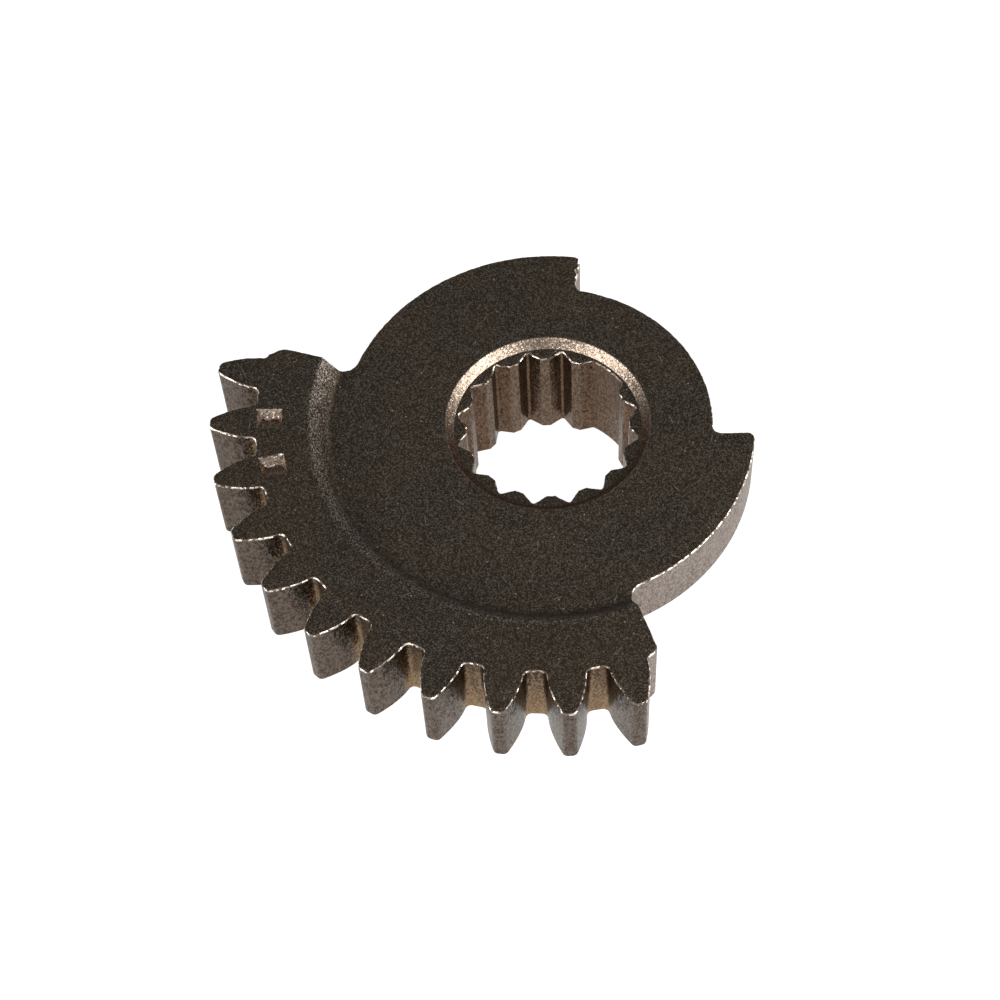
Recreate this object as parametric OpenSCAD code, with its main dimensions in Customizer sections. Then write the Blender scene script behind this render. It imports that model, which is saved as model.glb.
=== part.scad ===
// Sector gear: eleven teeth on a raised rim, round hub plate with a stop notch, and a splined bore.
// Origin: bore axis at the end face of the boss. +Z up the bore. The toothed sector faces -Y.

/* [Teeth] */
// Module of the teeth
tooth_module = 2; // [1.5:0.05:2.5]
// Pitch circle radius
pitch_radius = 31.42; // [30:0.02:36]
// Number of teeth on the sector
tooth_count = 11; // [5:1:13]
// Pressure angle of the involute flanks
pressure_angle = 20; // [14.5:0.5:25]
// Tooth thickness on the pitch circle, a little under half the circular pitch for backlash
tooth_thickness = 3.04; // [2.2:0.02:3.2]
// Height of a tooth above the pitch circle
addendum = 2.2; // [1.5:0.05:2.3]
// Depth of a tooth below the pitch circle
dedendum = 2.36; // [2:0.02:3]
// Corner radius along the tooth tips
tip_round = 0.35; // [0.1:0.05:0.5]
// Fillet radius at the tooth roots
root_fillet = 0.6; // [0.3:0.05:0.8]

/* [Sector rim] */
// Thickness of the rim that carries the teeth
rim_thickness = 8.9; // [6:0.1:12]
// Angle from the middle of the first tooth to the left end flank of the sector
left_margin = 6.9; // [5.5:0.1:10]
// Angle from the middle of the last tooth to the right end flank
right_margin = 6.3; // [5.5:0.1:10]
// How far the left end corner lies below the root circle
left_drop = 1.2; // [0.2:0.1:1.5]
// How far the right end corner lies below the root circle
right_drop = 0.4; // [0.2:0.1:1.5]
// Length over which an end corner is rounded
corner_round = 0.5; // [0.2:0.1:0.8]
// Fillet radius between an end flank and the round hub plate
flank_fillet = 1.8; // [0.4:0.1:2.2]

/* [Hub plate] */
// Radius of the hub plate
hub_radius = 20.7; // [18.5:0.1:22]
// Depth of the hub face below the rim face
recess_depth = 2; // [0.5:0.1:4]
// Radial width of the flat floor left between the hub plate and the foot of the slope
recess_margin = 1.2; // [0.2:0.1:2]
// Radial width of the slope that rises to the rim
slope_width = 1.8; // [0.5:0.1:3]
// Radius of the blend at the foot of the slope
foot_blend = 0.8; // [0.2:0.1:1.5]
// Radius of the blend at the top of the slope
crest_blend = 0.5; // [0.2:0.1:1.5]

/* [Stop notch] */
// Radius of the hub plate inside the notch
notch_radius = 16.5; // [14.5:0.1:17.5]
// Direction of the left stop face from the bore axis
left_stop_angle = 122.65; // [100:0.05:140]
// Direction of the right stop face
right_stop_angle = 42.85; // [30:0.05:70]
// Distance from the bore axis to the line of the right stop face
right_stop_offset = 1.65; // [0:0.05:4]
// Fillet radius at the inner corners of the notch
notch_fillet = 0.8; // [0.3:0.1:1.5]
// Radius of the outer corners of the two stops
stop_round = 0.7; // [0.3:0.1:1.5]

/* [Boss] */
// Length of the boss below the hub plate
boss_length = 6.3; // [2:0.1:12]
// Radius of the boss
boss_radius = 13; // [11.5:0.1:15]
// Chamfer at the end of the boss
boss_chamfer = 0.5; // [0.2:0.1:1]
// Fillet radius where the boss meets the plate
boss_fillet = 0.5; // [0.2:0.1:1.5]

/* [Splined bore] */
// Number of spline positions, one of which is left blank
spline_positions = 16; // [12:1:20]
// Radius to the bottoms of the spline spaces
spline_major_radius = 9.1; // [8.7:0.05:9.3]
// Radius to the tips of the spline teeth
spline_minor_radius = 8.14; // [7.8:0.02:8.5]
// Angle of a spline flank to the middle of its space
spline_flank_angle = 45; // [37.5:0.5:48]
// Radius at the bottoms of the spline spaces
spline_root_round = 0.3; // [0.1:0.05:0.4]
// Direction of the blank spline position from the bore axis
blank_angle = 89.5; // [0:0.5:359.5]
// Radius of the small ledge above the spline
ledge_radius = 9.41; // [9.35:0.01:10]
// Depth of the ledge below the hub face
ledge_depth = 0.84; // [0.3:0.02:2]
// Radius of the lead-in chamfer at the hub face
lead_in_radius = 10.24; // [10.1:0.02:11]

/* [Timing marks] */
// The first of the two neighbouring teeth with a mark behind it, counted from the left end
marked_tooth = 2; // [1:1:4]
// Distance from the root circle in to the middle of a mark
mark_inset = 1.41; // [1.3:0.01:2.5]
// Distance from the middle line of a tooth to the middle of its mark, towards the left end
mark_shift = 0.25; // [0:0.05:0.5]
// Radial length of a mark
mark_length = 2.5; // [1:0.1:2.5]
// Width of a mark across the radius
mark_width = 2.25; // [1:0.05:3]
// Depth of a mark along its valley
mark_depth = 0.6; // [0.1:0.05:1]
// Distance from the middle of a mark to its valley, towards the left end
mark_skew = 0.3; // [0:0.05:0.45]
// Length over which each end of a mark slopes down to the valley
mark_end = 0.45; // [0.1:0.05:0.45]

/* [Hidden] */
round_fn = 96;
small_fn = 32;
flank_steps = 7;
bend_steps = 4;
bottom_steps = 2;
blank_steps = 8;
cut_over = 1;
blend_bite = 0.001;
sector_middle = 270;

tooth_pitch = 180 * tooth_module / pitch_radius;
tip_radius = pitch_radius + addendum;
root_radius = pitch_radius - dedendum;
base_radius = pitch_radius * cos(pressure_angle);
last_tooth = (tooth_count - 1) / 2;
left_half_angle = last_tooth * tooth_pitch + left_margin;
right_half_angle = last_tooth * tooth_pitch + right_margin;

plate_z = boss_length;
rim_face_z = plate_z + rim_thickness;
hub_face_z = rim_face_z - recess_depth;
ledge_z = hub_face_z - ledge_depth;
slope_foot_radius = hub_radius + recess_margin;
slope_top_radius = slope_foot_radius + slope_width;
slope_angle = atan2(rim_face_z - hub_face_z, slope_width);
spline_pitch = 360 / spline_positions;
space_centre = spline_major_radius - spline_root_round;
space_slope = tan(spline_flank_angle);
space_reach = spline_root_round * cos(spline_flank_angle)
    + (space_centre + spline_root_round * sin(spline_flank_angle)) * space_slope;
mark_radius = root_radius - mark_inset;

function polar(r, a) = [r * cos(a), r * sin(a)];

// Point at u along the ray of angle a and v to the left of it
function beside(u, v, a) = [u * cos(a) - v * sin(a), u * sin(a) + v * cos(a)];

// Involute function of an angle, in degrees
function involute(a) = tan(a) * 180 / PI - a;

// Angle from the middle of a tooth to its flank at radius r
function flank_angle(r) = tooth_thickness / pitch_radius * 90 / PI + involute(pressure_angle)
    - (r > base_radius ? involute(acos(base_radius / r)) : 0);

// Point at t on a bend from p towards corner c and on to q
function bend(p, c, q, t) = p * (1 - t) * (1 - t) + c * 2 * t * (1 - t) + q * t * t;

// Radius at which the root fillet runs out on the flank, and the angle of the fillet's centre
fillet_end_radius = sqrt(pow(root_radius + root_fillet, 2) - pow(root_fillet, 2));
fillet_centre_angle = flank_angle(fillet_end_radius) + asin(root_fillet / (root_radius + root_fillet));
rounded_flank_end = tip_radius - tip_round;
tip_land_angle = flank_angle(tip_radius) - tip_round / tip_radius * 180 / PI;

// One half of a tooth whose middle is at angle 0, from the root circle to the tip land
function root_points() = [for (i = [0:bend_steps])
    let (sweep = 90 + flank_angle(fillet_end_radius) - fillet_centre_angle)
    let (turn = 180 + fillet_centre_angle + i / bend_steps * sweep)
    polar(root_radius + root_fillet, fillet_centre_angle) + polar(root_fillet, turn)];
function flank_points() = [for (i = [0:flank_steps])
    let (r = max(fillet_end_radius, base_radius) + i / flank_steps
        * (rounded_flank_end - max(fillet_end_radius, base_radius)))
    polar(r, flank_angle(r))];
function tip_points() = [for (i = [1:bend_steps])
    bend(polar(rounded_flank_end, flank_angle(rounded_flank_end)),
        polar(tip_radius, flank_angle(tip_radius)), polar(tip_radius, tip_land_angle), i / bend_steps)];
function half_tooth() = concat(root_points(), flank_points(), tip_points());

function turned(points, a) = [for (p = points) beside(p[0], p[1], a)];
function mirrored(points) = [for (p = points) [p[0], -p[1]]];
function reversed(points) = [for (i = [len(points) - 1:-1:0]) points[i]];
function tooth_points(a) = turned(concat(mirrored(half_tooth()), reversed(half_tooth())), a);

// Rounded end corner of the sector, from the flank to the root of the last tooth
function shoulder_points(half_angle, drop) =
    let (corner = polar(root_radius - drop, half_angle))
    let (root = polar(root_radius, last_tooth * tooth_pitch + fillet_centre_angle))
    let (on_flank = corner * (1 - corner_round / norm(corner)))
    let (on_land = corner + (root - corner) * corner_round / norm(root - corner))
    [for (i = [0:bend_steps]) bend(on_flank, corner, on_land, i / bend_steps)];

// Outline of the toothed sector with its middle at angle 0, closed through the bore axis
function sector_points() = concat([[0, 0]], mirrored(shoulder_points(left_half_angle, left_drop)),
    [for (k = [0:tooth_count - 1]) each tooth_points((k - last_tooth) * tooth_pitch)],
    reversed(shoulder_points(right_half_angle, right_drop)));

// Fillet in the corner between a disc of radius r and a straight face that stands on it
// The face lies v to the left of the ray at angle a, and side (1 or -1) is the open side of the face
module inner_corner(r, a, v, side, fillet) {
    across = v + side * fillet;
    along = sqrt(pow(r + fillet, 2) - pow(across, 2));
    centre = beside(along, across, a);
    foot = sqrt(r * r - v * v) - fillet;
    difference() {
        polygon([centre, beside(along, v - side * fillet, a), beside(foot, v - side * fillet, a),
            centre * (r - fillet) / norm(centre)]);
        translate(centre) circle(fillet + blend_bite, $fn = small_fn);
    }
}

// What rounding takes off the corner between a straight face and the rim of a disc of radius r
module outer_corner(r, a, v, side, round) {
    across = v - side * round;
    along = sqrt(pow(r - round, 2) - pow(across, 2));
    centre = beside(along, across, a);
    difference() {
        polygon([centre, beside(along, v + side * cut_over, a), beside(r + cut_over, v + side * cut_over, a),
            centre * (r + cut_over) / norm(centre)]);
        translate(centre) circle(round + blend_bite, $fn = small_fn);
    }
}

// Hub disc with the notch between the two stops
module hub_outline() {
    far = 2 * hub_radius;
    near = notch_radius / 3;
    middle = (left_stop_angle + right_stop_angle) / 2;
    difference() {
        circle(hub_radius, $fn = round_fn);
        difference() {
            polygon([beside(near, -right_stop_offset, right_stop_angle),
                beside(far, -right_stop_offset, right_stop_angle), polar(far, middle),
                polar(far, left_stop_angle), polar(near, left_stop_angle)]);
            circle(notch_radius, $fn = round_fn);
        }
        outer_corner(hub_radius, left_stop_angle, 0, -1, stop_round);
        outer_corner(hub_radius, right_stop_angle, -right_stop_offset, 1, stop_round);
    }
    inner_corner(notch_radius, left_stop_angle, 0, -1, notch_fillet);
    inner_corner(notch_radius, right_stop_angle, -right_stop_offset, 1, notch_fillet);
}

module gear_outline() {
    hub_outline();
    rotate(sector_middle) {
        polygon(sector_points());
        inner_corner(hub_radius, right_half_angle, 0, 1, flank_fillet);
        inner_corner(hub_radius, -left_half_angle, 0, -1, flank_fillet);
    }
}

// Boss under the plate, with a chamfered end and a fillet into the plate
module boss() {
    rotate_extrude($fn = round_fn) {
        polygon([[0, 0], [boss_radius - boss_chamfer, 0], [boss_radius, boss_chamfer],
            [boss_radius, plate_z + cut_over], [0, plate_z + cut_over]]);
        difference() {
            translate([boss_radius - boss_fillet, plate_z - boss_fillet])
                square([2 * boss_fillet, boss_fillet + cut_over]);
            translate([boss_radius + boss_fillet, plate_z - boss_fillet])
                circle(boss_fillet + blend_bite, $fn = small_fn);
        }
    }
}

// Room above the hub face, with a slope that rises to the rim
module recess() {
    rise = [cos(slope_angle), sin(slope_angle)];
    foot = [slope_foot_radius, hub_face_z];
    foot_toe = foot_blend * tan(slope_angle / 2);
    crest = [slope_top_radius, rim_face_z + blend_bite];
    crest_toe = crest_blend * tan(slope_angle / 2);
    rotate_extrude($fn = round_fn)
        polygon(concat([[0, hub_face_z]],
            [for (i = [0:bend_steps])
                bend(foot - [foot_toe, 0], foot, foot + foot_toe * rise, i / bend_steps)],
            [for (i = [0:bend_steps])
                bend(crest - crest_toe * rise, crest, crest + [crest_toe, 0], i / bend_steps)],
            [crest + [crest_toe, cut_over], [0, rim_face_z + cut_over]]));
}

// Where a flank of a spline space meets the circle through the tips, for a space along angle 0
function mouth_point() =
    let (a = 1 + space_slope * space_slope)
    let (b = space_reach * space_slope)
    let (u = (b + sqrt(b * b - a * (pow(space_reach, 2) - pow(spline_minor_radius, 2)))) / a)
    [u, space_reach - u * space_slope];

// Rounded bottom of a space, between two of its steps, and a whole space with its two mouths
function bottom_points(from, to) = [for (i = [from:to])
    [space_centre, 0] + polar(spline_root_round, i / bottom_steps * (90 - spline_flank_angle))];
function space_points() = concat(mirrored([mouth_point()]), bottom_points(-bottom_steps, bottom_steps),
    [mouth_point()]);
function spline_tip(k) = polar(spline_minor_radius, blank_angle + k * spline_pitch);

// Section of the bore: a tooth between every two spaces but one, where the bottoms of the spaces run on
function bore_points() = concat(
    [for (i = [1:blank_steps - 1])
        polar(spline_major_radius, blank_angle + (i / blank_steps - 0.5) * spline_pitch)],
    turned(concat(bottom_points(0, bottom_steps), [mouth_point()]), blank_angle + spline_pitch / 2),
    [for (k = [1:spline_positions - 2])
        each concat([spline_tip(k)], turned(space_points(), blank_angle + (k + 0.5) * spline_pitch))],
    [spline_tip(spline_positions - 1)],
    turned(concat(mirrored([mouth_point()]), bottom_points(-bottom_steps, 0)),
        blank_angle - spline_pitch / 2));

module splined_bore() {
    translate([0, 0, -cut_over]) linear_extrude(hub_face_z + 2 * cut_over) polygon(bore_points());
    lead_in_slope = (lead_in_radius - ledge_radius) / ledge_depth;
    translate([0, 0, ledge_z])
        cylinder(h = ledge_depth + cut_over, r1 = ledge_radius,
            r2 = lead_in_radius + cut_over * lead_in_slope, $fn = round_fn);
}

// V-shaped pocket with hipped ends, behind tooth number tooth
// Its section and its side view run on above the rim face along their own slopes
module timing_mark(tooth) {
    side = mark_width / 2;
    half = mark_length / 2;
    above = cut_over / mark_depth;
    below = 1.1;
    rotate(sector_middle + (tooth - 1 - last_tooth) * tooth_pitch)
        translate([mark_radius, -mark_shift, rim_face_z]) intersection() {
            rotate([90, 0, 90]) translate([0, 0, -mark_length]) linear_extrude(2 * mark_length)
                polygon([[-mark_skew, -mark_depth], [side + above * (side + mark_skew), cut_over],
                    [-side - above * (side - mark_skew), cut_over]]);
            rotate([90, 0, 0]) translate([0, 0, -2 * mark_width]) linear_extrude(4 * mark_width)
                polygon([[below * mark_end - half, -below * mark_depth],
                    [half - below * mark_end, -below * mark_depth],
                    [half + above * mark_end, cut_over], [-half - above * mark_end, cut_over]]);
        }
}

module sector_gear() {
    color("#3b342e") difference() {
        union() {
            translate([0, 0, plate_z]) linear_extrude(rim_thickness) gear_outline();
            boss();
        }
        recess();
        splined_bore();
        timing_mark(marked_tooth);
        timing_mark(marked_tooth + 1);
    }
}

sector_gear();
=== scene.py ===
import math

import bmesh
import bpy
from mathutils import Matrix, Vector, noise


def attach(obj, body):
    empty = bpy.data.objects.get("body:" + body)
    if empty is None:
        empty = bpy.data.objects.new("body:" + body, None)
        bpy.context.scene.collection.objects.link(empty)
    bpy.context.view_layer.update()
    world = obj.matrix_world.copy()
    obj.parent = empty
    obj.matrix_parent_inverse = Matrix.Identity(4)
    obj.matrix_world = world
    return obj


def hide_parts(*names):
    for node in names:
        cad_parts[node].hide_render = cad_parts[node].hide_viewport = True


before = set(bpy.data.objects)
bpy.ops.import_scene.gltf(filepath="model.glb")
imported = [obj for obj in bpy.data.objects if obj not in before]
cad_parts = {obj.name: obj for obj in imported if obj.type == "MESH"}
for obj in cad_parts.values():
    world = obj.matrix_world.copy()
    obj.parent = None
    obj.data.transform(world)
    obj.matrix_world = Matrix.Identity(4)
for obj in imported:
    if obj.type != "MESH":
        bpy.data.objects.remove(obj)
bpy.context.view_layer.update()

# Sizes of the gear in millimetres, as in the part's source
MM = 0.001
RIM_FACE_Z = 15.2
HUB_FACE_Z = 13.2
LEDGE_Z = 12.36
PLATE_BOTTOM_Z = 6.3
SLOPE_CREST = 23.75
MARKS = (Vector((-20.01, -19.08)), Vector((-15.82, -22.68)))
MARK_DEPTH = 0.65
STOP_WALL_FACES = Vector((0.842, 0.5395, 0))

# Limits between the gear's surfaces: distances from the bore axis or a mark in millimetres, and angles from
# the middle tooth
BORE_REACH = 9.6
LEAD_IN_REACH = 10.6
HUB_REACH = 21.3
SLOPE_REACH = (21.3, 24.3)
SLOPE_SIDE = (math.radians(55), math.radians(71))
MARK_REACH = 1.8
SECTOR_SIDE = math.radians(58.5)

# Middle of the band of the slope that is rubbed light, and the level way towards the camera: the half of
# each coined surface that faces away from it is painted shade
RUBBED_BAND = SLOPE_CREST - 0.4
CAMERA_WAY = Vector((0.692, -0.722, 0))

# Where the photograph was taken from, fitted to the outline and the circles of the gear, in millimetres
# and radians
CAMERA_AIM = Vector((0, 0, HUB_FACE_Z))
CAMERA_DISTANCE = 246.083
CAMERA_TURN = math.radians(43.797)
CAMERA_RISE = 0.99225
CAMERA_PAN = 0.02035
CAMERA_TILT = -0.03124
CAMERA_ROLL = -0.03172
FOCAL_PIXELS = 2460.826
PICTURE_PIXELS = 1000
SENSOR_WIDTH = 36


def linear(code):
    """Linear colour of an sRGB hex value."""
    parts = [int(code[i:i + 2], 16) / 255 for i in (1, 3, 5)]
    return [p / 12.92 if p <= 0.04045 else ((p + 0.055) / 1.055) ** 2.4 for p in parts] + [1]


def add(tree, kind, inputs=None, **settings):
    """Adds a node. Each of its inputs, by name or number, is given a value or the output of another node."""
    node = tree.nodes.new(kind)
    for name, value in settings.items():
        setattr(node, name, value)
    for name, value in (inputs or {}).items():
        if isinstance(value, bpy.types.NodeSocket):
            tree.links.new(value, node.inputs[name])
        else:
            node.inputs[name].default_value = value
    return node


def new_material(name):
    """New material without nodes, and its node tree."""
    material = bpy.data.materials.new(name)
    material.use_nodes = True
    material.node_tree.nodes.clear()
    return material, material.node_tree


def powder_grains(tree, place, across, tilt):
    """For powder grains of a width in millimetres, a number from 0 to 1 each, and their tilted tops."""
    cells = add(tree, "ShaderNodeTexVoronoi", {"Vector": place, "Scale": 1 / (across * MM)})
    lean = add(tree, "ShaderNodeVectorMath", {0: cells.outputs["Color"], 1: (0.5, 0.5, 0.5)},
               operation="SUBTRACT")
    amount = add(tree, "ShaderNodeVectorMath", {0: lean.outputs[0], "Scale": tilt}, operation="SCALE")
    flat = add(tree, "ShaderNodeNewGeometry")
    leaning = add(tree, "ShaderNodeVectorMath", {0: flat.outputs["Normal"], 1: amount.outputs[0]},
                  operation="ADD")
    top = add(tree, "ShaderNodeVectorMath", {0: leaning.outputs[0]}, operation="NORMALIZE")
    chance = add(tree, "ShaderNodeSeparateColor", {"Color": cells.outputs["Color"]})
    return chance.outputs[2], top.outputs[0]


def bright_grains(tree, place):
    """Single grains rubbed bright, 0.15 mm across, in one of 16 cells of 0.5 mm."""
    cells = add(tree, "ShaderNodeTexVoronoi", {"Vector": place, "Scale": 1 / (0.5 * MM)})
    chance = add(tree, "ShaderNodeSeparateColor", {"Color": cells.outputs["Color"]})
    chosen = add(tree, "ShaderNodeMath", {0: chance.outputs[0], 1: 0.94}, operation="GREATER_THAN")
    dot = add(tree, "ShaderNodeMapRange", {"Value": cells.outputs["Distance"],
              "From Min": 0.1, "From Max": 0.2, "To Min": 0.8, "To Max": 0.0})
    return add(tree, "ShaderNodeMath", {0: dot.outputs[0], 1: chosen.outputs[0]},
               operation="MULTIPLY").outputs[0]


def short_scratches(tree, place):
    """A scratch in four of ten cells of 5 mm, 0.08 mm wide and 1.4 mm long, in a direction of its own."""
    cells = add(tree, "ShaderNodeTexVoronoi", {"Vector": place, "Scale": 1 / (5 * MM)})
    from_middle = add(tree, "ShaderNodeVectorMath", {0: place, 1: cells.outputs["Position"]},
                      operation="SUBTRACT")
    chance = add(tree, "ShaderNodeSeparateColor", {"Color": cells.outputs["Color"]})
    angle = add(tree, "ShaderNodeMath", {0: chance.outputs[1], 1: math.pi}, operation="MULTIPLY")
    turned = add(tree, "ShaderNodeVectorRotate",
                 {"Vector": from_middle.outputs[0], "Angle": angle.outputs[0]}, rotation_type="Z_AXIS")
    shape = add(tree, "ShaderNodeVectorMath",
                {0: turned.outputs[0], 1: (1 / (0.04 * MM), 1 / (0.7 * MM), 0)}, operation="MULTIPLY")
    far = add(tree, "ShaderNodeVectorMath", {0: shape.outputs[0]}, operation="LENGTH")
    line = add(tree, "ShaderNodeMapRange", {"Value": far.outputs["Value"],
               "From Min": 0.5, "From Max": 1.0, "To Min": 0.5, "To Max": 0.0})
    chosen = add(tree, "ShaderNodeMath", {0: chance.outputs[0], 1: 0.6}, operation="GREATER_THAN")
    return add(tree, "ShaderNodeMath", {0: line.outputs[0], 1: chosen.outputs[0]},
               operation="MULTIPLY").outputs[0]


def out_from_axis(tree, place):
    """Distance from the bore axis."""
    level = add(tree, "ShaderNodeVectorMath", {0: place, 1: (1, 1, 0)}, operation="MULTIPLY")
    return add(tree, "ShaderNodeVectorMath", {0: level.outputs[0]}, operation="LENGTH").outputs["Value"]


# Sintered steel as the punch leaves it: flat-topped powder grains between pores, dark with furnace oxide.
# To the eye a dark brown field, speckled grey, with a few bright grains and short scratches from handling.
# The slope is rubbed lighter in a band just inside its crest, 0.6 mm wide and fading over 0.6 mm on each
# side. The grains are 0.11 mm, one pixel.
def punch_face():
    material, tree = new_material("sintered_steel_punch_face")
    place = add(tree, "ShaderNodeTexCoord").outputs["Object"]
    chance, top = powder_grains(tree, place, 0.11, 0.35)
    clouds = add(tree, "ShaderNodeTexNoise", {"Vector": place, "Scale": 1 / (6.0 * MM), "Detail": 3.0})
    tint = add(tree, "ShaderNodeMapRange", {"Value": clouds.outputs["Fac"],
               "From Min": 0.4, "From Max": 0.6})
    oxide = add(tree, "ShaderNodeMix", {0: tint.outputs[0], 6: linear("#4b4138"), 7: linear("#524636")},
                data_type="RGBA")
    flat_top = add(tree, "ShaderNodeMapRange", {"Value": chance, "From Min": 0.45, "From Max": 1.0})
    grainy = add(tree, "ShaderNodeMix", {0: flat_top.outputs[0], 6: oxide.outputs[2], 7: linear("#8f857a")},
                 data_type="RGBA")
    past = add(tree, "ShaderNodeMath", {0: out_from_axis(tree, place), 1: RUBBED_BAND * MM},
               operation="SUBTRACT")
    off = add(tree, "ShaderNodeMath", {0: past.outputs[0]}, operation="ABSOLUTE")
    band = add(tree, "ShaderNodeMapRange", {"Value": off.outputs[0],
               "From Min": 0.3 * MM, "From Max": 0.9 * MM, "To Min": 0.4, "To Max": 0.0})
    height = add(tree, "ShaderNodeSeparateXYZ", {"Vector": place})
    above = add(tree, "ShaderNodeMath", {0: height.outputs["Z"], 1: HUB_FACE_Z * MM},
                operation="GREATER_THAN")
    touched = add(tree, "ShaderNodeMath", {0: band.outputs[0], 1: above.outputs[0]}, operation="MULTIPLY")
    rubbed = add(tree, "ShaderNodeMath", {0: touched.outputs[0], 1: flat_top.outputs[0]},
                 operation="MULTIPLY")
    bare = add(tree, "ShaderNodeMath", {0: bright_grains(tree, place), 1: short_scratches(tree, place)},
               operation="MAXIMUM")
    worn = add(tree, "ShaderNodeMath", {0: bare.outputs[0], 1: rubbed.outputs[0]}, operation="MAXIMUM")
    colour = add(tree, "ShaderNodeMix", {0: worn.outputs[0], 6: grainy.outputs[2], 7: linear("#e6ddd3")},
                 data_type="RGBA")
    shader = add(tree, "ShaderNodeBsdfPrincipled", {"Base Color": colour.outputs[2], "Metallic": 1.0,
                 "Roughness": 0.5, "Normal": top})
    add(tree, "ShaderNodeOutputMaterial", {"Surface": shader.outputs[0]})
    return material


# Sintered steel burnished by the die on its way out: smoother, with pores and brown oxide left in it.
# To the eye a dark mirror of the table, freckled, with faint press lines along Z. The flanks of the teeth
# are mottled brown as well. The pores keep a wall from shining at a low angle. The grains are 0.1 mm; they
# are drawn 0.14 mm wide and 0.25 mm high, so that they show from the camera's height.
def die_wall(name, clean, oxide, roughness, mottled, inner, reach, fade, painted_shade):
    """Wall with an inner colour on the floors or tops that lie within a reach in millimetres of the axis.
    The painted shade is more oxide colour: painted shade on the flanks up to 2.2 mm past the reach, and on
    what is within it, painted darker towards its top and lighter towards its bottom, where it would reflect
    the table."""
    material, tree = new_material(name)
    place = add(tree, "ShaderNodeTexCoord").outputs["Object"]
    out = out_from_axis(tree, place)
    drawn = add(tree, "ShaderNodeMapping", {"Vector": place, "Scale": (1, 1, 0.55)})
    chance, top = powder_grains(tree, drawn.outputs[0], 0.14, 0.18)
    along = add(tree, "ShaderNodeMapping", {"Vector": place, "Scale": (1, 1, 0.08)})
    lines = add(tree, "ShaderNodeTexNoise", {"Vector": along.outputs[0], "Scale": 1 / (0.4 * MM),
                "Detail": 1.0})
    blotches = add(tree, "ShaderNodeTexNoise", {"Vector": place, "Scale": 1 / (0.5 * MM), "Detail": 3.0})
    streaks = add(tree, "ShaderNodeMath", {0: lines.outputs["Fac"], 1: 0.4, 2: -0.2},
                  operation="MULTIPLY_ADD")
    freckles = add(tree, "ShaderNodeMath", {0: chance, 1: 0.7, 2: streaks.outputs[0]},
                   operation="MULTIPLY_ADD")
    patches = add(tree, "ShaderNodeMapRange", {"Value": blotches.outputs["Fac"],
                  "From Min": 0.3, "From Max": 0.7, "To Min": -mottled, "To Max": mottled})
    uneven = add(tree, "ShaderNodeMath", {0: freckles.outputs[0], 1: patches.outputs[0]}, operation="ADD")
    # Painted shade: flanks darker near the roots of the teeth, fading out 2.2 mm past the reach
    painted_root_shade = add(tree, "ShaderNodeMapRange", {"Value": out, "From Min": (reach + 0.3) * MM,
                 "From Max": (reach + 2.2) * MM, "To Min": painted_shade, "To Max": 0.0})
    dull = add(tree, "ShaderNodeMath", {0: uneven.outputs[0], 1: painted_root_shade.outputs[0]}, operation="ADD",
               use_clamp=True)
    flank = add(tree, "ShaderNodeMix", {0: dull.outputs[0], 6: linear(clean), 7: linear(oxide)},
                data_type="RGBA")
    height = add(tree, "ShaderNodeSeparateXYZ", {"Vector": place})
    # Painted shade towards the top of the floors, and a painted reflection of the table lighter towards
    # their bottom
    painted_height_shade = add(tree, "ShaderNodeMapRange", {"Value": height.outputs["Z"],
                "From Min": PLATE_BOTTOM_Z * MM, "From Max": RIM_FACE_Z * MM,
                "To Min": -0.4 * painted_shade, "To Max": 0.9 * painted_shade})
    grain_and_painted_shade = add(tree, "ShaderNodeMath", {0: freckles.outputs[0], 1: painted_height_shade.outputs[0]}, operation="ADD",
                  use_clamp=True)
    floor = add(tree, "ShaderNodeMix", {0: grain_and_painted_shade.outputs[0], 6: linear(inner), 7: linear(oxide)},
                data_type="RGBA")
    within = add(tree, "ShaderNodeMapRange", {"Value": out, "From Min": reach * MM,
                 "From Max": (reach + fade) * MM, "To Min": 1.0, "To Max": 0.0})
    colour = add(tree, "ShaderNodeMix", {0: within.outputs[0], 6: flank.outputs[2], 7: floor.outputs[2]},
                 data_type="RGBA")
    shader = add(tree, "ShaderNodeBsdfPrincipled", {"Base Color": colour.outputs[2], "Metallic": 1.0,
                 "Roughness": roughness, "Specular Tint": linear("#e6e4e1"), "Normal": top})
    add(tree, "ShaderNodeOutputMaterial", {"Surface": shader.outputs[0]})
    return material


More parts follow.
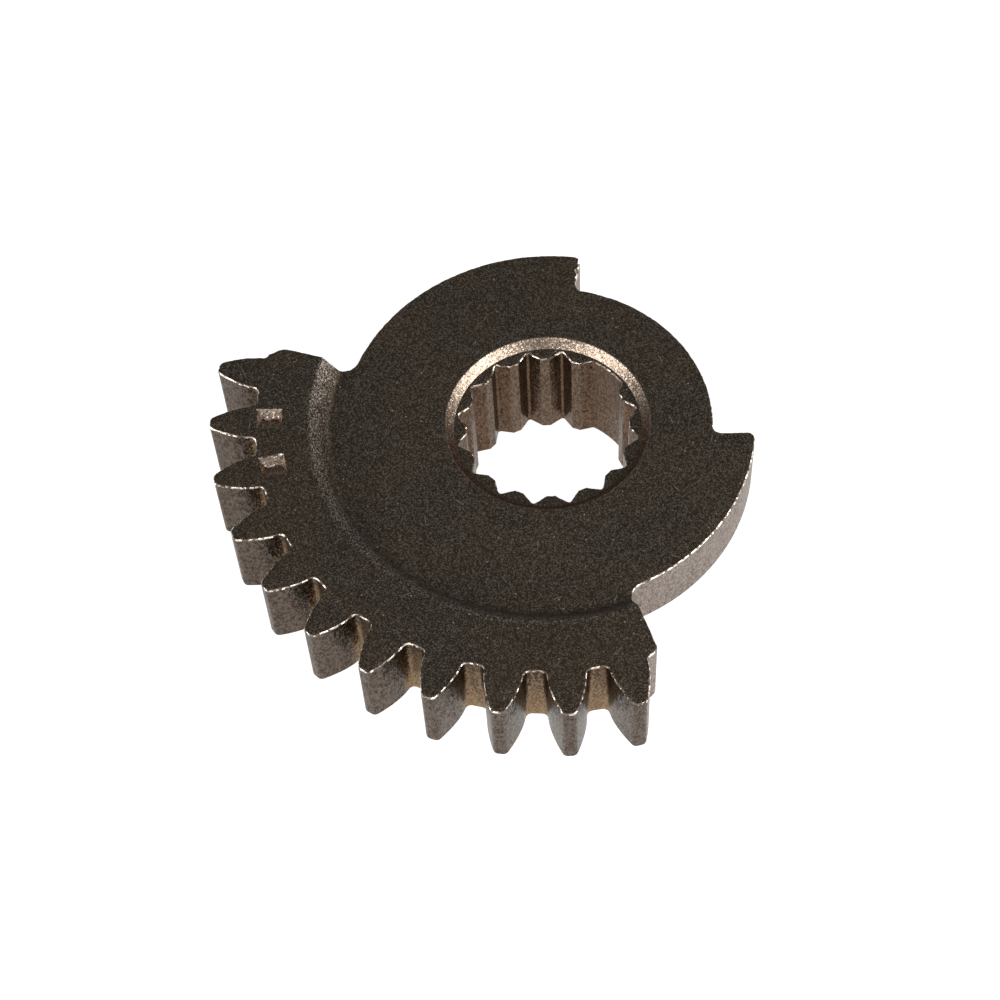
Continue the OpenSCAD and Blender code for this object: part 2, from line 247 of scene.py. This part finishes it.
# Sintered steel coined smooth by a corner of the punch: the lead-in of the bore and the marks.
# To the eye satin gold-grey metal, with grains that glint in the soft boxes. The half that faces away from
# the camera is painted shade, a brown oxide colour through which one grain in five still shines.
def coined_steel():
    material, tree = new_material("sintered_steel_coined")
    place = add(tree, "ShaderNodeTexCoord").outputs["Object"]
    chance, top = powder_grains(tree, place, 0.11, 0.35)
    grainy = add(tree, "ShaderNodeMix", {0: chance, 6: linear("#c2ae9d"), 7: linear("#7b6d5f")},
                 data_type="RGBA")
    flat = add(tree, "ShaderNodeNewGeometry")
    towards = add(tree, "ShaderNodeVectorMath", {0: flat.outputs["Normal"], 1: CAMERA_WAY},
                  operation="DOT_PRODUCT")
    # Painted shade: darker brown where the surface faces away from the camera
    painted_away_shade = add(tree, "ShaderNodeMapRange", {"Value": towards.outputs["Value"],
               "From Min": -0.15, "From Max": 0.2, "To Min": 0.75, "To Max": 0.0})
    film = add(tree, "ShaderNodeMapRange", {"Value": chance, "From Min": 0.15, "From Max": 0.3,
               "To Min": 0.1, "To Max": 1.0})
    grain_and_painted_shade = add(tree, "ShaderNodeMath", {0: painted_away_shade.outputs[0], 1: film.outputs[0]}, operation="MULTIPLY")
    colour = add(tree, "ShaderNodeMix", {0: grain_and_painted_shade.outputs[0], 6: grainy.outputs[2], 7: linear("#5a3d26")},
                 data_type="RGBA")
    shader = add(tree, "ShaderNodeBsdfPrincipled", {"Base Color": colour.outputs[2], "Metallic": 1.0,
                 "Roughness": 0.4, "Normal": top})
    add(tree, "ShaderNodeOutputMaterial", {"Surface": shader.outputs[0]})
    return material


# Sintered steel torn at an edge by the die, and knocked since: bare bright metal.
# To the eye a cream white line, broken into beads of 0.35 mm with duller ones between them.
def torn_edge():
    material, tree = new_material("sintered_steel_torn_edge")
    place = add(tree, "ShaderNodeTexCoord").outputs["Object"]
    chance, top = powder_grains(tree, place, 0.35, 0.8)
    bead = add(tree, "ShaderNodeMapRange", {"Value": chance, "From Min": 0.35, "From Max": 0.6})
    colour = add(tree, "ShaderNodeMix", {0: bead.outputs[0], 6: linear("#75675a"), 7: linear("#f4e9dd")},
                 data_type="RGBA")
    shader = add(tree, "ShaderNodeBsdfPrincipled", {"Base Color": colour.outputs[2], "Metallic": 1.0,
                 "Roughness": 0.45, "Normal": top})
    add(tree, "ShaderNodeOutputMaterial", {"Surface": shader.outputs[0]})
    return material


# The gear's own surfaces, by the tool that shaped them
FACE, TOOTH_WALL, HUB_WALL, BORE, COINED, EDGE = range(6)

# Width in millimetres by which each kind of edge is broken, and the length of the beads along a burr
BURR = 0.2
SOFT = 0.08
MARK_LINE = 0.1
BEAD = 0.2

# How deep a burr is torn between its beads, and the long and the short of its unevenness, in millimetres
TORN_DEPTH = 0.05
LONG_TEAR = 0.5
SHORT_TEAR = 0.2

# Bends of edges: of a corner that is broken, of the valley of a mark, and of creases that still shade smooth
CORNER_BEND = math.radians(28)
VALLEY_BEND = math.radians(-50)
SMOOTH_BEND = math.radians(25)
SMOOTH_BURR_BEND = math.radians(40)

# How far up the normal of a level face points at least, and that of a wall at most
LEVEL_UP = 0.98
WALL_UP = 0.3

# Heights that differ by less than this, in millimetres, are the same
CLOSE = 0.01

# Chips in the top edge of the left stop: where, how deep and how long
STOP_CHIPS = (((-10.15, 15.95), 0.4, 0.45), ((-9.6, 15.1), 0.25, 0.3), ((-10.7, 16.8), 0.15, 0.5))


def in_mark(point):
    """Whether a point in millimetres lies in one of the two timing marks."""
    return point.z > RIM_FACE_Z - MARK_DEPTH and any((point.xy - m).length < MARK_REACH for m in MARKS)


def side_angle(point):
    """Angle between a point and the middle tooth, seen from the bore axis."""
    return abs(math.atan2(point.x, -point.y))


def outer_wall(point):
    """Which of the two outer walls a point in millimetres belongs to."""
    return HUB_WALL if point.xy.length < HUB_REACH or side_angle(point) > SECTOR_SIDE else TOOTH_WALL


def kind_of_face(face):
    """Which surface a face of the solid belongs to."""
    middle = face.calc_center_median() / MM
    out = middle.xy.length
    up = face.normal.z
    if up > LEVEL_UP:
        return FACE
    if abs(up) < WALL_UP:
        return BORE if out < BORE_REACH else outer_wall(middle)
    if up > 0 and (out < LEAD_IN_REACH or in_mark(middle)):
        return COINED
    return FACE


def break_of_edge(edge, kinds):
    """Width by which an edge of the solid is broken, or 0. The ends of the slope stay as they are, and in a
    mark only the valley and the lip above the half that faces the camera are broken."""
    middle = (edge.verts[0].co + edge.verts[1].co) / 2 / MM
    slope_end = (SLOPE_SIDE[0] < side_angle(middle) < SLOPE_SIDE[1]
                 and SLOPE_REACH[0] < middle.xy.length < SLOPE_REACH[1])
    if slope_end or len(edge.link_faces) != 2:
        return 0
    bend = edge.calc_face_angle_signed(0)
    pair = {kinds[f.index] for f in edge.link_faces}
    high = min(v.co.z for v in edge.verts) / MM
    level = all(abs(v.co.z / MM - high) < CLOSE for v in edge.verts)
    if in_mark(middle):
        lip = high > RIM_FACE_Z - CLOSE and any(f.normal.dot(CAMERA_WAY) > 0.3 for f in edge.link_faces)
        return MARK_LINE if level and (lip or bend < VALLEY_BEND) else 0
    if bend < CORNER_BEND:
        return 0
    if level and FACE in pair and pair & {TOOTH_WALL, HUB_WALL, BORE} and high > LEDGE_Z - CLOSE:
        return BURR
    return SOFT


def kind_of_strip(face):
    """Which surface the strip along a broken edge belongs to: bare metal at the top, else the wall's own."""
    middle = face.calc_center_median() / MM
    out = middle.xy.length
    if out > LEAD_IN_REACH and middle.z > HUB_FACE_Z - BURR:
        return EDGE
    if out < BORE_REACH:
        return EDGE if middle.z > LEDGE_Z - BURR else BORE
    if out < LEAD_IN_REACH and middle.z > LEDGE_Z:
        return COINED
    looks_down = face.normal.z < -0.9
    return FACE if looks_down else outer_wall(middle)


def applied(body):
    """Turns the piece's modifiers into its mesh."""
    shapes = bpy.context.evaluated_depsgraph_get()
    mesh = bpy.data.meshes.new_from_object(body.evaluated_get(shapes), depsgraph=shapes)
    body.modifiers.clear()
    old, body.data = body.data, mesh
    bpy.data.meshes.remove(old)
    mesh.name = body.name
    return mesh


def beaded(bm, strips):
    """Cuts the strips along the broken edges into beads of even length."""
    leader = {}

    def first(edge):
        while leader.setdefault(edge, edge) is not edge:
            edge = leader[edge]
        return edge

    for face in strips:
        if len(face.edges) == 4:
            pairs = [(face.edges[i], face.edges[i + 2]) for i in (0, 1)]
            long_pair = max(pairs, key=lambda p: p[0].calc_length() + p[1].calc_length())
            leader[first(long_pair[0])] = first(long_pair[1])
    groups = {}
    for edge in list(leader):
        groups.setdefault(first(edge), []).append(edge)
    by_cuts = {}
    for edges in groups.values():
        cuts = round(sum(e.calc_length() for e in edges) / len(edges) / (BEAD * MM)) - 1
        if cuts > 0:
            by_cuts.setdefault(cuts, []).extend(edges)
    for cuts, edges in by_cuts.items():
        bmesh.ops.subdivide_edges(bm, edges=edges, cuts=cuts, use_grid_fill=True)


def fill_again(bm, height):
    """Fills the level face at a height in millimetres anew from its outlines, now that they are worn. What
    is a thousandth of a millimetre off that height belongs to the burr."""
    level = [f for f in bm.faces
             if f.normal.z > 0.999 and all(abs(v.co.z / MM - height) < 0.001 for v in f.verts)]
    known = set(level)
    outlines = [e for e in bm.edges if sum(f in known for f in e.link_faces) == 1]
    bmesh.ops.delete(bm, geom=level, context="FACES_KEEP_BOUNDARY")
    made = bmesh.ops.triangle_fill(bm, use_beauty=True, edges=outlines, normal=(0, 0, 1))
    for face in made["geom"]:
        if isinstance(face, bmesh.types.BMFace):
            face.material_index = FACE
            face.smooth = True
            face.normal_update()
            if face.normal.z < 0:
                face.normal_flip()


def wear_edges(mesh):
    """Makes the broken top edges uneven, and chips the edge of the stop that takes the knocks."""
    bm = bmesh.new()
    bm.from_mesh(mesh)
    for face in bm.faces:
        if face.material_index == EDGE:
            face.material_index = kind_of_strip(face)
    beaded(bm, [f for f in bm.faces if f.material_index == EDGE])
    bm.normal_update()
    for vert in bm.verts:
        ways = [f.normal for f in vert.link_faces if f.material_index == EDGE]
        if not ways or in_mark(vert.co / MM):
            continue
        way = sum(ways, Vector()).normalized()
        # A burr's line on the level face stays level, and its line on a wall stays in that wall
        others = {f.material_index for f in vert.link_faces} - {EDGE}
        if FACE in others:
            way.z = 0
        elif others:
            way.xy = (0, 0)
        grain = noise.noise(vert.co / (LONG_TEAR * MM)) + 0.8 * noise.noise(vert.co / (SHORT_TEAR * MM))
        vert.co += way * max(-0.9, min(grain - 0.2, 0)) * TORN_DEPTH * MM
        for middle, depth, length in STOP_CHIPS:
            near = 1 - (vert.co.xy / MM - Vector(middle)).length / length
            if near > 0 and vert.co.z > (HUB_FACE_Z - 2 * BURR) * MM:
                ragged = 0.8 + 0.6 * noise.noise(vert.co / (SHORT_TEAR * MM))
                torn = depth * min(1, 1.6 * near) * ragged
                below = min(1, (HUB_FACE_Z * MM - vert.co.z) / (BURR * MM))
                vert.co -= STOP_WALL_FACES * torn * (1 - below) * MM
                vert.co.z -= torn * 0.7 * below * MM
    bm.normal_update()
    for height in (RIM_FACE_Z, HUB_FACE_Z, LEDGE_Z):
        fill_again(bm, height)
    bm.normal_update()
    for edge in bm.edges:
        if any(f.material_index == EDGE for f in edge.link_faces):
            edge.smooth = edge.calc_face_angle(0) < SMOOTH_BURR_BEND
    for face in bm.faces:
        looks_up = face.material_index == EDGE and face.normal.z > 0.8
        if looks_up and not in_mark(face.calc_center_median() / MM):
            face.material_index = FACE
    bm.to_mesh(mesh)
    bm.free()


def gear_body(surfaces):
    """The gear with its edges broken, each surface marked with the tool that shaped it. The triangles of
    the solid are first joined into the faces that they belong to."""
    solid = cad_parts["sector_gear"]
    bm = bmesh.new()
    bm.from_mesh(solid.data)
    same_place = 2e-7
    same_plane = math.radians(0.2)
    bmesh.ops.remove_doubles(bm, verts=bm.verts, dist=same_place)
    bmesh.ops.dissolve_limit(bm, angle_limit=same_plane, verts=bm.verts, edges=bm.edges)
    bm.faces.index_update()
    kinds = [kind_of_face(f) for f in bm.faces]
    weight = bm.edges.layers.float.new("bevel_weight_edge")
    for edge in bm.edges:
        edge[weight] = break_of_edge(edge, kinds) / BURR
        edge.smooth = edge[weight] > 0 or edge.calc_face_angle(0) < SMOOTH_BEND
    for face in bm.faces:
        face.material_index = kinds[face.index]
        face.smooth = True
    sharp_mesh = bpy.data.meshes.new("sector_gear_sharp")
    for surface in surfaces:
        sharp_mesh.materials.append(surface)
    bm.to_mesh(sharp_mesh)
    bm.free()
    body = bpy.data.objects.new("gear_body", sharp_mesh)
    bpy.context.scene.collection.objects.link(body)
    breaker = body.modifiers.new("broken edges", "BEVEL")
    breaker.limit_method = "WEIGHT"
    breaker.width = BURR * MM
    breaker.segments = 3
    breaker.profile = 0.7
    breaker.material = EDGE
    breaker.use_clamp_overlap = False
    wear_edges(applied(body))
    flat = body.modifiers.new("flat faces stay flat", "WEIGHTED_NORMAL")
    flat.weight = 100
    flat.keep_sharp = True
    applied(body)
    return body


body = gear_body((
    punch_face(),
    # The floors of the gaps between the teeth take a lighter golden colour: painted warm light bounced
    # between the teeth
    die_wall("sintered_steel_tooth_walls", clean="#5f544c", oxide="#33251a", roughness=0.32, mottled=0.42,
             inner="#886e50", reach=29.6, fade=0.8, painted_shade=0.5),
    die_wall("sintered_steel_hub_walls", clean="#9f938b", oxide="#4a4038", roughness=0.45, mottled=0.12,
             inner="#9f938b", reach=1.0, fade=0.2, painted_shade=0.0),
    die_wall("sintered_steel_splined_bore", clean="#6c5441", oxide="#221912", roughness=0.26, mottled=0.18,
             inner="#776353", reach=8.2, fade=0.12, painted_shade=0.0),
    coined_steel(),
    torn_edge(),
))
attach(body, "root")
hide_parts("sector_gear")


def studio():
    """White table that shines through a little, and a soft box on each side of the camera."""
    mesh = bpy.data.meshes.new("table_top")
    half = 1.5  # metres
    height = -0.05 * MM  # just clear of the boss's end face, which would flicker with it
    corners = [(-half, -half, height), (half, -half, height), (half, half, height), (-half, half, height)]
    mesh.from_pydata(corners, [], [(0, 1, 2, 3)])
    table = bpy.data.objects.new("table_top", mesh)
    bpy.context.scene.collection.objects.link(table)
    material, tree = new_material("opal_acrylic_table")
    shader = add(tree, "ShaderNodeBsdfPrincipled", {"Base Color": linear("#8c8c8c"), "Roughness": 0.6,
                 "Emission Color": linear("#ffffff"), "Emission Strength": 1.0})
    add(tree, "ShaderNodeOutputMaterial", {"Surface": shader.outputs[0]})
    mesh.materials.append(material)

    world = bpy.data.worlds.new("studio")
    bpy.context.scene.world = world
    world.use_nodes = True
    tree = world.node_tree
    tree.nodes.clear()
    back = add(tree, "ShaderNodeBackground", {"Color": linear("#7c7c7c"), "Strength": 1.0})
    add(tree, "ShaderNodeOutputWorld", {"Surface": back.outputs[0]})

    # For each soft box, degrees round from the camera and up from the table, metres wide, and watts
    distance = 0.5
    for name, turn, rise, width, power in (
        ("soft_box_right", 65, 24, 0.5, 3.0),
        ("soft_box_left", -55, 26, 0.4, 2.0),
    ):
        light = bpy.data.lights.new(name, "AREA")
        light.shape = "RECTANGLE"
        light.size = width
        light.size_y = width * 0.6
        light.energy = power
        lamp = bpy.data.objects.new(name, light)
        bpy.context.scene.collection.objects.link(lamp)
        around = CAMERA_TURN - math.pi / 2 + math.radians(turn)
        up = math.radians(rise)
        way = Vector((math.cos(up) * math.cos(around), math.cos(up) * math.sin(around), math.sin(up)))
        lamp.location = CAMERA_AIM * MM + distance * way
        lamp.rotation_euler = way.to_track_quat("Z", "Y").to_euler()


def photograph_camera():
    """Camera where the photograph was taken from. It looks past the hub by the pan and the tilt."""
    place = Vector((0, -math.cos(CAMERA_RISE), math.sin(CAMERA_RISE))) * CAMERA_DISTANCE
    back = place.normalized()
    across = Vector((1, 0, 0))
    up = back.cross(across)
    axes = Matrix((across, up, back)).transposed()
    aside = (Matrix.Rotation(CAMERA_PAN, 3, "Y") @ Matrix.Rotation(CAMERA_TILT, 3, "X")
             @ Matrix.Rotation(CAMERA_ROLL, 3, "Z"))
    turn = Matrix.Rotation(CAMERA_TURN, 3, "Z")
    camera = bpy.data.objects.new("camera", bpy.data.cameras.new("camera"))
    bpy.context.scene.collection.objects.link(camera)
    camera.data.sensor_width = SENSOR_WIDTH
    camera.data.lens = FOCAL_PIXELS / PICTURE_PIXELS * SENSOR_WIDTH
    camera.data.clip_start = 0.01
    stand = Matrix.Translation((turn @ place + CAMERA_AIM) * MM)
    camera.matrix_world = stand @ (turn @ axes @ aside).to_4x4()
    bpy.context.scene.camera = camera


studio()
photograph_camera()
bpy.context.scene.view_settings.view_transform = "Standard"
